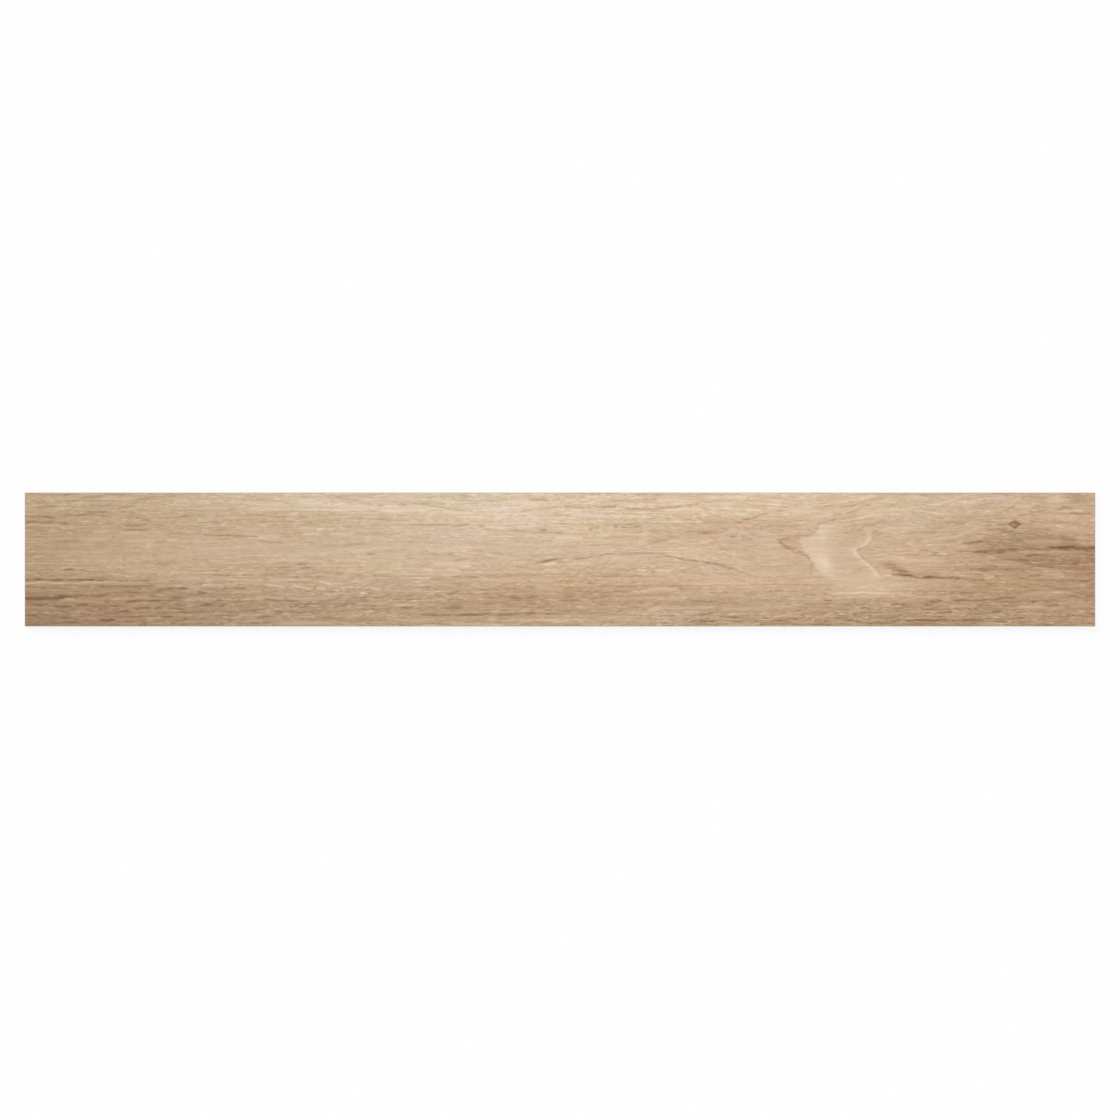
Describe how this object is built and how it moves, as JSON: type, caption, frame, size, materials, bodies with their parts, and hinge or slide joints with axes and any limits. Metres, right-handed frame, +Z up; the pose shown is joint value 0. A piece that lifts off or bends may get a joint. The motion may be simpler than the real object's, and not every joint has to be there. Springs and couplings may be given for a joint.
{
  "type": "wood look porcelain plank tile",
  "caption": "Long flat porcelain plank tile with a matt wood-grain face, square ground edges with a fine arris and a waffle-keyed back, for covering floors and walls.",
  "frame": {"origin": "centre of the back's bearing plane, the plane of the ribs that the plank lies on", "axes": "+X along the length, +Y across the width, +Z up out of the decorated face"},
  "size_m": [1.2, 0.15, 0.009],
  "materials": {
    "printed_porcelain": "matt printed glaze with a light oak grain on the face; unglazed beige body on edges and back"
  },
  "bodies": {
    "root": {"plank_tile": "printed_porcelain"}
  },
  "joints": []
}
